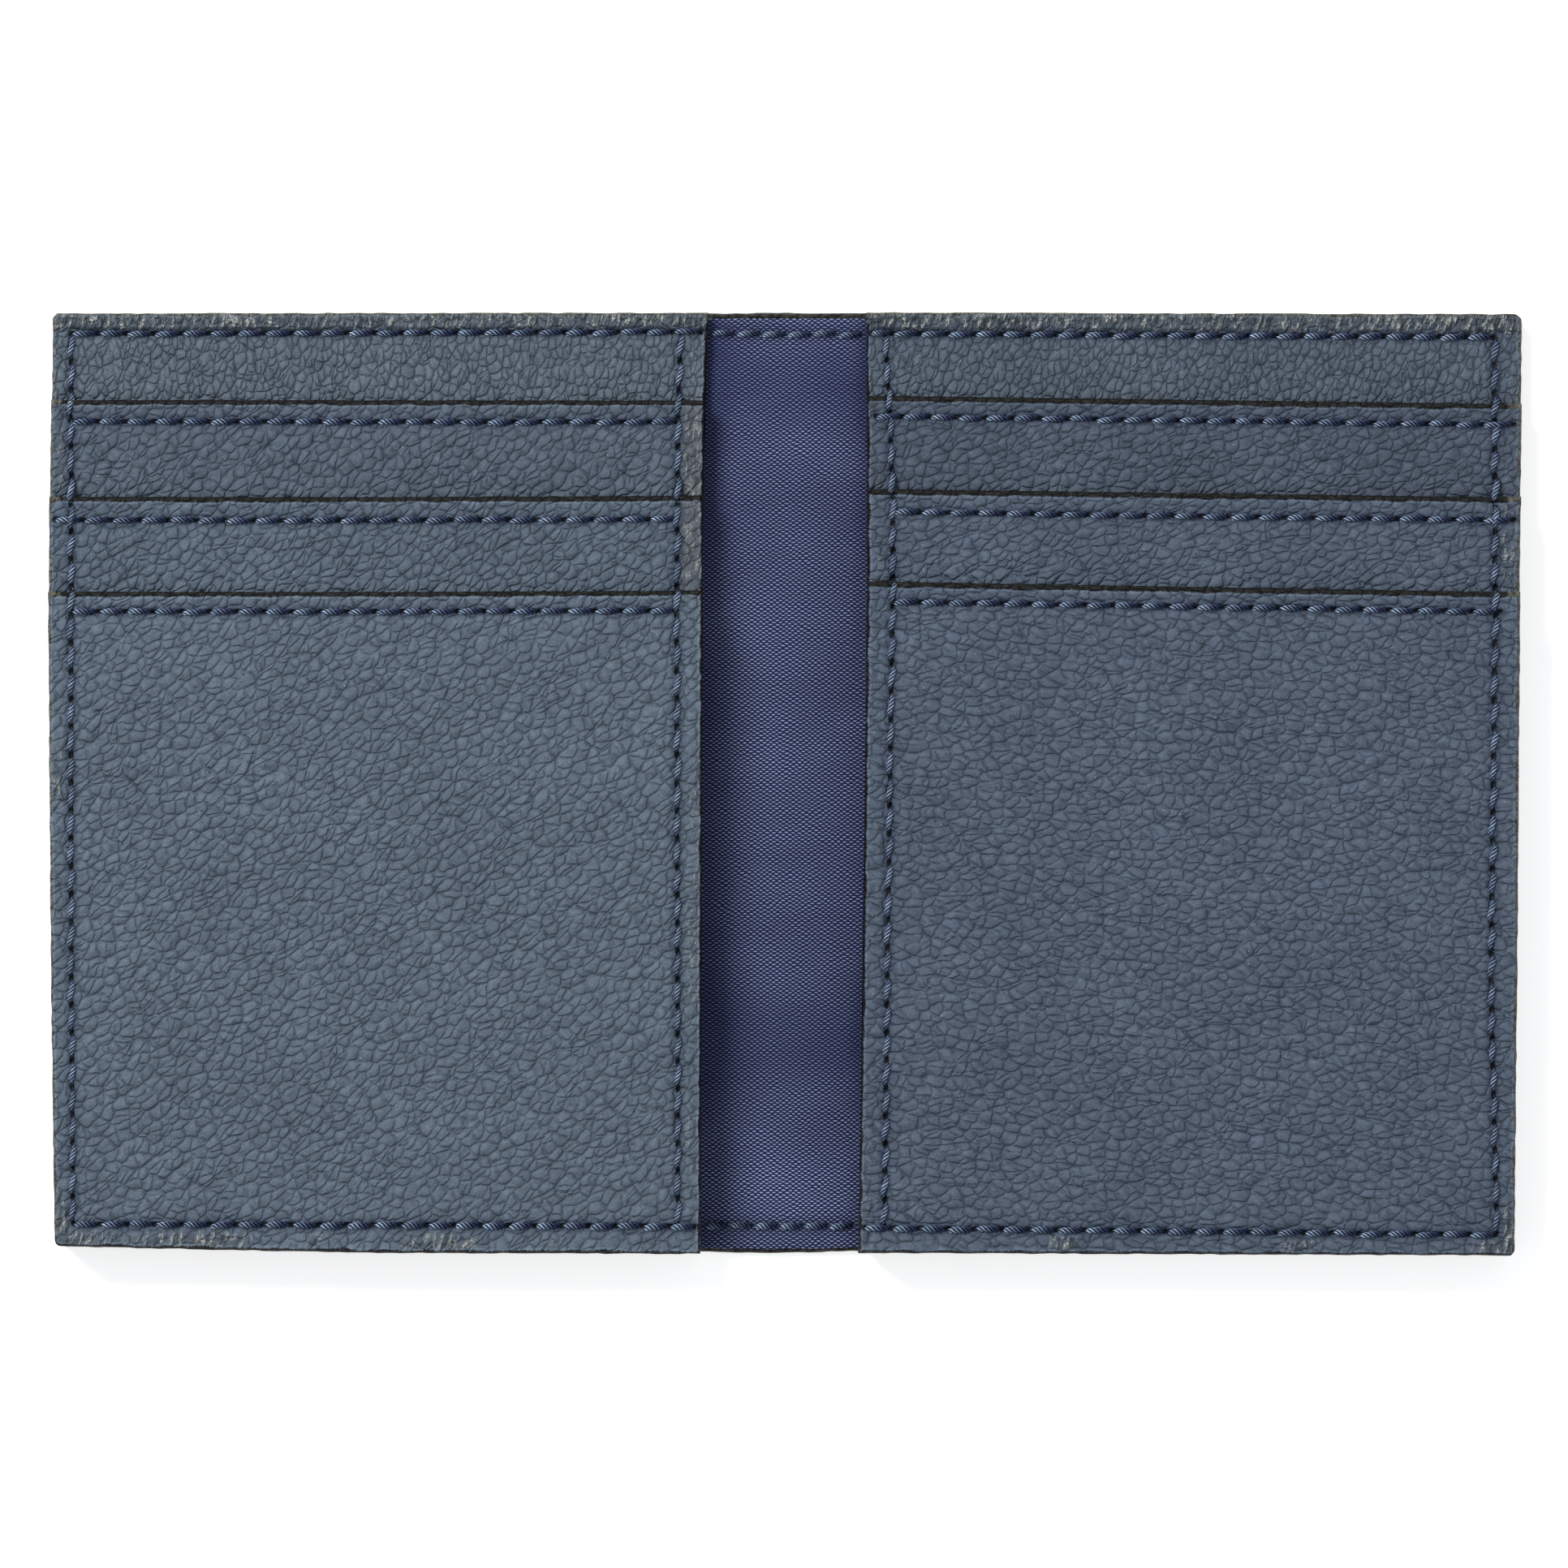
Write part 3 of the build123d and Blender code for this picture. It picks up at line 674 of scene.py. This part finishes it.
def relief(x, y, side, seed, angle, z):
    """Height of a facing's outer face: its level, slow swells, creases and the pull of the stitches."""
    swell = 0.07 * noise(x / 17, y / 13, seed) + 0.035 * noise(x / 6, y / 5, seed + 1)
    long_folds = creases(x, y, seed + 2, angle, 4.2, 1.5)
    short_folds = creases(x, y, seed + 3, angle + 12, 2.0, 0.8)
    fold = 0.03 * long_folds + 0.03 * short_folds
    grain = 0.02 * noise(x / 0.9, y / 0.9, seed + 4)
    crush = crumpled(x, y) * 0.1 * noise(x / 1.6, y / 1.2, seed + 5)
    return np.maximum(z + swell - fold + grain + crush - dent(x, y, FACING_ROWS[side]), z - DEEPEST)


def leather_wear(side, facing, seed):
    """Wear data for a facing: where it is rubbed, where it is crushed, and where its edges are burnished."""

    def wear_and_painted_light(x, y):
        u = np.abs(x)
        worn = np.zeros(x.shape)
        strength = 0.72 + 0.28 * noise(x / 6, y, seed + 9)
        if facing == "top_strip":
            worn = np.clip((y - SEAM_V - 0.25) / 0.4, 0, 1) * strength
        patch = np.clip(noise(x / 5, y / 6, seed + 10) * 2 - 0.5, 0, 1)
        beyond = np.maximum(u - SEAM_U, -SEAM_V - y) - 0.5
        worn = np.maximum(worn, 0.6 * np.clip(beyond / 0.5, 0, 1) * patch)
        corner = np.hypot(u - HALF_WIDTH, y + HALF_HEIGHT)
        worn = np.maximum(worn, np.clip(beyond / 0.5, 0, 1) * np.clip(2 - corner / 3, 0, 1) * strength)
        margin = np.clip((PANEL_NEAR + 2.0 - u) / 1.2, 0, 1) * (0.35 if side == "left" else 0.15)
        worn = np.maximum(worn, margin * np.clip(noise(x, y / 7, seed + 8) + 0.3, 0, 1))
        outer = ((u > HALF_WIDTH - 1) & (y > 1 - HALF_HEIGHT)) | (y > HALF_HEIGHT - 1)
        return worn, crumpled(x, y), outer.astype(float)

    return wear_and_painted_light


CREASE_ANGLES = {"left": (80, 52, 46, 42), "right": (72, 24, 20, 22)}


def facing_surfaces(side):
    """Each facing of one half: its box, and the function for the height of its face."""
    found = []
    for n, facing in enumerate(FACINGS):
        low, high = box_mm(f"{side}_{facing}")
        seed, angle = 1000 * (side == "right") + 40 * n, CREASE_ANGLES[side][n]

        def top(x, y, z=high[2], seed=seed, angle=angle):
            return relief(x, y, side, seed, angle, z)

        found.append((facing, low, high, top, leather_wear(side, facing, seed)))
    return found


def lining_top(x, y):
    """The lining's face: down on the cover across the fold, up on the board under the panels."""
    u = np.abs(x)
    climb = np.clip((u - BOARD_LOW[0] + LINING_RAMP) / LINING_RAMP, 0, 1)
    bare = np.clip((PANEL_NEAR - u) / 1.5, 0, 1)
    slack = 0.1 + 0.1 * noise(x / 9 + 3, y / 7, 501) + 0.05 * noise(x / 4, y / 2.6, 502)
    _, line = nearest_stitches(u, y, SPINE_ROWS)
    pull = np.clip(line / 1.5, 0, 1)
    return COVER_TOP + LINING_THICKNESS + climb * (BOARD_HIGH[2] - COVER_TOP) + bare * pull * slack


LINING_LIGHT_BANDS = (  # level bands of painted sheen and shade on the lining: middle, width, and how much paler
    (42.0, 6.5, -0.32),
    (28.0, 3.5, -0.16),
    (12.0, 14.0, 0.08),
    (-27.5, 6.0, -0.24),
    (-43.0, 6.0, 0.26),
)


def lining_painted_light(x, y):
    """Painted light on the lining: 0.5 is even, less is painted shade and more is painted sheen, with a
    little random tone.
    """
    painted_light = 0.5 + 0.08 * noise(x / 6, y / 9, 505)
    for middle, width, amount in LINING_LIGHT_BANDS:
        painted_light = painted_light + amount * bump(y - middle + 0.12 * x, width)
    # painted shadow of the panels along both their inner edges, stronger on the left
    painted_light = painted_light - 0.35 * bump(x + PANEL_NEAR, 2.4) - 0.25 * bump(x - PANEL_NEAR, 0.9)
    return np.clip(painted_light, 0, 1), np.zeros(x.shape), np.zeros(x.shape)


def lining_under(x, y):
    climb = np.clip((np.abs(x) - BOARD_LOW[0] + LINING_RAMP) / LINING_RAMP, 0, 1)
    return COVER_TOP + CLEAR + climb * (BOARD_HIGH[2] - COVER_TOP)


def cover_under(x, y):
    """The outer face of the cover, which is the underside while the wallet lies open."""
    fold = 0.05 * creases(x, y, 702, 35, 4.5, 1.6) + 0.03 * creases(x, y, 703, 48, 2.0, 0.8)
    swell = 0.03 * (1 + noise(x / 16, y / 13, 700))
    hole, line = nearest_stitches(np.abs(x), y, UNDER_ROWS)
    return swell + fold + 0.44 * bump(line, 0.7) + 0.14 * bump(hole, 0.34)


def cover_wear(x, y):
    spine = np.clip(1 - np.abs(x) / 9, 0, 1)
    return 0.25 * spine, 0.2 * spine, np.full(x.shape, 0.2)


def row_stitches(shape, sign, row, height, up, rng):
    """Adds the stitches of one row to a shape."""
    places = np.linspace(row.start, row.end, row.count + 1)
    for near, far in zip(places, places[1:]):
        jitter = rng.normal(0, STITCH_JITTER, 2)
        if row.upright:
            start = (sign * row.at + jitter[0] - STITCH_SLANT, near)
            end = (sign * row.at + jitter[1] + STITCH_SLANT, far)
        else:
            start = (sign * near, row.at + jitter[0] - sign * STITCH_SLANT)
            end = (sign * far, row.at + jitter[1] + sign * STITCH_SLANT)
        turn, shine = rng.uniform(0, 2 * math.pi), rng.uniform(0.6, 1.0)
        shape.stitch(start, end, height, up, turn, UPRIGHT_THREAD if row.upright else 1.0, shine)


def top_height(surfaces):
    """The height of whatever face is uppermost at a place."""

    def height(x, y):
        z = lining_top(x, y)
        for _, low, high, top, _ in surfaces:
            inside = (np.abs(x) >= PANEL_NEAR) & (y <= high[1]) & (y >= low[1])
            z = np.where(inside, top(x, y), z)
        return z

    return height


def fold_with_spine(piece):
    """Bakes its place into a piece that runs on over the fold from its half to the spine."""
    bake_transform(piece)


def flat(z):
    return lambda x, y: np.full(x.shape, float(z))


def block(shape, sign, u_range, v_range, z_range):
    """A plain block of cloth, such as a hem bar."""
    us, vs = lines(*u_range, BLOCK_GRID[0], bevel=False), lines(*v_range, BLOCK_GRID[1], bevel=False)
    shape.sheet(sign, us, vs, flat(z_range[1]), flat(z_range[0]), radius=0.05)


def build_half(side):
    """Makes every piece of one half, with its share of the spine."""
    sign = SIDES[side]
    surfaces = facing_surfaces(side)
    height = top_height(surfaces)
    body = f"{side}_half"
    rng = np.random.default_rng(11 if side == "left" else 29)

    for facing, low, high, top, wear_and_painted_light in surfaces:
        us, vs = lines(PANEL_NEAR, HALF_WIDTH, FACING_GRID), lines(low[1], high[1], FACING_GRID)
        if low[1] > -HALF_HEIGHT + 1:  # a strip, whose lower part is hidden and can be coarse
            tucked = lines(low[1], high[1] - SHOWN, TUCKED_GRID, bevel=False)
            vs = np.concatenate([tucked[:-1], vs[vs >= high[1] - SHOWN]])
        shape = Shape()
        shape.sheet(
            sign, us, vs, top, flat(low[2] + CLEAR), FACING_ROWS[side], wear_and_painted_light=wear_and_painted_light,
            mouth_paint=MOUTH_PAINT[side],
        )
        piece = shape.piece(f"{side}_{facing}_leather", LEATHERS[side, facing])
        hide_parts(f"{side}_{facing}")
        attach(piece, body)

    near, far, low_y = PANEL_NEAR + INSET, HALF_WIDTH - INSET, -HALF_HEIGHT + INSET
    for n, lining in enumerate(LININGS):
        low, high = box_mm(f"{side}_{lining}")
        behind, mouth = surfaces[n], high[1] - INSET
        floor = -HALF_HEIGHT + POCKET_FLOORS[n]
        strip_low = behind[1][1]
        shape = Shape()
        sheet_z = (high[2] - CLOTH, high[2])
        block(shape, sign, (near, far), (low_y, mouth), sheet_z)
        block(shape, sign, (near, far), (low_y, floor), (low[2], sheet_z[0]))
        for bar in ((near, near + HEM - INSET), (far - HEM + INSET, far)):
            block(shape, sign, bar, (floor, strip_low), (low[2], sheet_z[0]))
            block(shape, sign, bar, (strip_low, mouth), (behind[2][2], sheet_z[0]))
        piece = shape.piece(f"{side}_{lining}_cloth", POCKET_CLOTH)
        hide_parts(f"{side}_{lining}")
        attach(piece, body)

    low, high = box_mm(f"{side}_panel_backing")
    shape = Shape()
    sheet_low = high[2] - CLOTH
    block(shape, sign, (near, far), (low_y, -low_y), (sheet_low, high[2]))
    block(shape, sign, (far - HEM, far), (low_y, -low_y), (low[2], sheet_low))
    for v in ((low_y, low_y + HEM), (-low_y - HEM, -low_y)):
        block(shape, sign, (near + BACKING_STEP, far - HEM), v, (low[2], sheet_low))
    piece = shape.piece(f"{side}_panel_backing_cloth", POCKET_CLOTH)
    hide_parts(f"{side}_panel_backing")
    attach(piece, body)

    shape = Shape()
    block(shape, sign, (BOARD_LOW[0], far), (low_y, -low_y), (BOARD_LOW[2], BOARD_HIGH[2]))
    piece = shape.piece(f"{side}_stiffener", BOARD)
    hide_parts(f"{side}_cover_board")
    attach(piece, body)

    shape = Shape()
    us, vs = lines(0, HALF_WIDTH, COVER_GRID), lines(-HALF_HEIGHT, HALF_HEIGHT, COVER_GRID)
    us = np.concatenate([[0.0], us[us > 0.3]])  # no rounded edge where the two halves meet
    shape.sheet(
        sign, us, vs, flat(COVER_TOP), cover_under, cut=True, under=UNDER_ROWS, wear_and_painted_light=cover_wear,
        unpainted=-0.2,
    )
    piece = shape.piece(f"{side}_cover_leather", LEATHERS[side, "outer_cover"])
    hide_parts(f"{side}_outer_cover", "spine_outer_cover")
    fold_with_spine(piece)

    shape = Shape()
    bare = np.arange(0, PANEL_NEAR + 1.5, LINING_GRID[0])
    us = np.concatenate([bare, lines(PANEL_NEAR + 1.6, far, HIDDEN_LINING_GRID, bevel=False)])
    vs = lines(-HALF_HEIGHT + LINING_INSETS[0], HALF_HEIGHT - LINING_INSETS[1], LINING_GRID[1], bevel=False)
    shape.sheet(sign, us, vs, lining_top, lining_under, SPINE_ROWS, radius=0.08, cut=True, wear_and_painted_light=lining_painted_light)
    piece = shape.piece(f"{side}_lining_cloth", LINING_CLOTH)
    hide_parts(f"{side}_cover_lining", "spine_lining")
    fold_with_spine(piece)

    for n, row in enumerate(TOPSTITCH_ROWS[side]):
        shape = Shape()
        row_stitches(shape, sign, row, height, 1, rng)
        piece = shape.piece(f"{side}_slot_{n + 1}_stitching", THREAD)
        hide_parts(f"{side}_slot_{n + 1}_topstitch")
        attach(piece, body)
    shape = Shape()
    row_stitches(shape, sign, INNER_ROW, height, 1, rng)
    piece = shape.piece(f"{side}_inner_stitching", THREAD)
    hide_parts(f"{side}_inner_seam")
    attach(piece, body)
    shape = Shape()
    for row in (OUTER_ROW, *PANEL_ROWS, *SPINE_ROWS):
        row_stitches(shape, sign, row, height, 1, rng)
    for row in UNDER_ROWS:
        row_stitches(shape, sign, row, cover_under, -1, rng)
    piece = shape.piece(f"{side}_edge_stitching", THREAD)
    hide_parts(f"{side}_edge_seam", "spine_edge_seam")
    fold_with_spine(piece)


for side in SIDES:
    build_half(side)


# ---------------------------------------------------------------- floor, light and camera


FLOOR_GLOW = 0.6  # the floor is a light table, so the soft shadow on it stays pale
FLOOR_REACH = 3.0


def build_stage():
    n = Nodes("floor_white")
    soft = n.noise(n.add("TexCoord").outputs["Object"], 3.0, 2.0).outputs[0]
    tint = n.mix(soft, (0.9, 0.9, 0.9, 1), (0.92, 0.92, 0.92, 1))
    material = n.finish(tint, 0.9, soft, 0.001, specular=0.1)
    n.put(n.shader.inputs["Emission Color"], tint)
    n.shader.inputs["Emission Strength"].default_value = FLOOR_GLOW
    mesh = bpy.data.meshes.new("floor")
    r = FLOOR_REACH
    mesh.from_pydata([(-r, -r, 0), (r, -r, 0), (r, r, 0), (-r, r, 0)], [], [(0, 1, 2, 3)])
    mesh.materials.append(material)
    floor = bpy.data.objects.new("floor", mesh)
    floor.location.z = -0.02 * MM
    bpy.context.scene.collection.objects.link(floor)


def area_light(name, place, target, size, power, colour):
    data = bpy.data.lights.new(name, "AREA")
    data.shape, data.size, data.energy, data.color = "DISK", size, power, colour
    lamp = bpy.data.objects.new(name, data)
    bpy.context.scene.collection.objects.link(lamp)
    lamp.location = place
    lamp.rotation_euler = (Vector(place) - Vector(target)).to_track_quat("Z", "Y").to_euler()


build_stage()
area_light("key", (-0.55, 0.62, 0.75), (0, 0, 0), 0.5, 12.0, (1.0, 0.99, 0.97))
area_light("fill", (0.7, -0.3, 0.8), (0, 0, 0), 0.9, 2.4, (0.97, 0.98, 1.0))
world = bpy.data.worlds.new("studio")
world.use_nodes = True
world.node_tree.nodes["Background"].inputs["Color"].default_value = (0.96, 0.98, 1.0, 1)
world.node_tree.nodes["Background"].inputs["Strength"].default_value = 0.42
bpy.context.scene.world = world
bpy.context.scene.view_settings.view_transform = "Standard"

# The camera looks straight down, and takes in FRAME_WIDTH at the height of the pockets' faces.
LENS, SENSOR, FRAME_WIDTH = 300.0, 36.0, 0.1673
CAMERA_X, FACE_HEIGHT = -0.0002, 0.006
camera_data = bpy.data.cameras.new("camera")
camera_data.lens, camera_data.sensor_width = LENS, SENSOR
camera_data.clip_start = 0.01
camera = bpy.data.objects.new("camera", camera_data)
bpy.context.scene.collection.objects.link(camera)
camera.location = (CAMERA_X, 0.0, FRAME_WIDTH * LENS / SENSOR + FACE_HEIGHT)
bpy.context.scene.camera = camera
